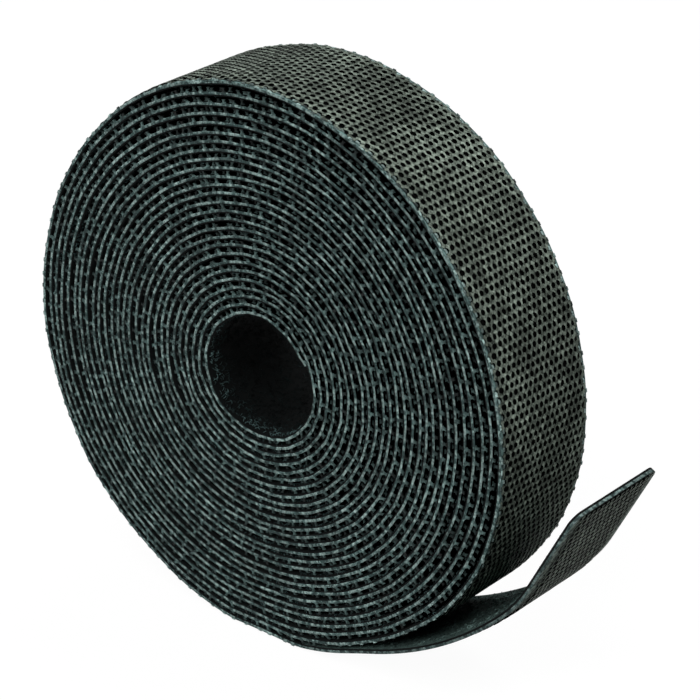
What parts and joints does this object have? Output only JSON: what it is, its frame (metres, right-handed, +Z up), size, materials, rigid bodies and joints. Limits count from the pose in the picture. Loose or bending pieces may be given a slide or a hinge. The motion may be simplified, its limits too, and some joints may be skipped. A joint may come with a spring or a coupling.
{
  "type": "hook and loop tape roll",
  "caption": "Coreless roll of back-to-back hook and loop tape, standing on its rim, with a springy free end that peels off the roll and flexes.",
  "frame": {"origin": "middle of the flat on the rim that the roll stands on", "axes": "+Z up, +Y along the roll's axis away from the viewer, +X to the side where the free end leaves the roll"},
  "size_m": [0.1008, 0.02, 0.0875],
  "materials": {
    "hook_film": "moulded black film with hooks, faint grey-green cast",
    "loop_cloth": "black knitted loop pile"
  },
  "bodies": {
    "roll": {"hook_web_roll": "hook_film", "loop_web_roll": "loop_cloth"},
    "tail": {"hook_web_tail": "hook_film", "loop_web_tail": "loop_cloth"},
    "end": {"hook_web_end": "hook_film", "loop_web_end": "loop_cloth"}
  },
  "joints": [
    {"name": "peel", "type": "hinge", "parent": "roll", "child": "tail", "pos_m": [0.01855, 0, 0.00355], "axis": [0, 1, 0], "range_deg": [-5, 25], "stiffness_Nm_per_rad": 0.002, "springref_deg": -4.41},
    {"name": "flex", "type": "hinge", "parent": "tail", "child": "end", "pos_m": [0.04457, 0, 0.01906], "axis": [0, 1, 0], "range_deg": [-18, 40], "stiffness_Nm_per_rad": 0.001, "springref_deg": -1.15}
  ]
}
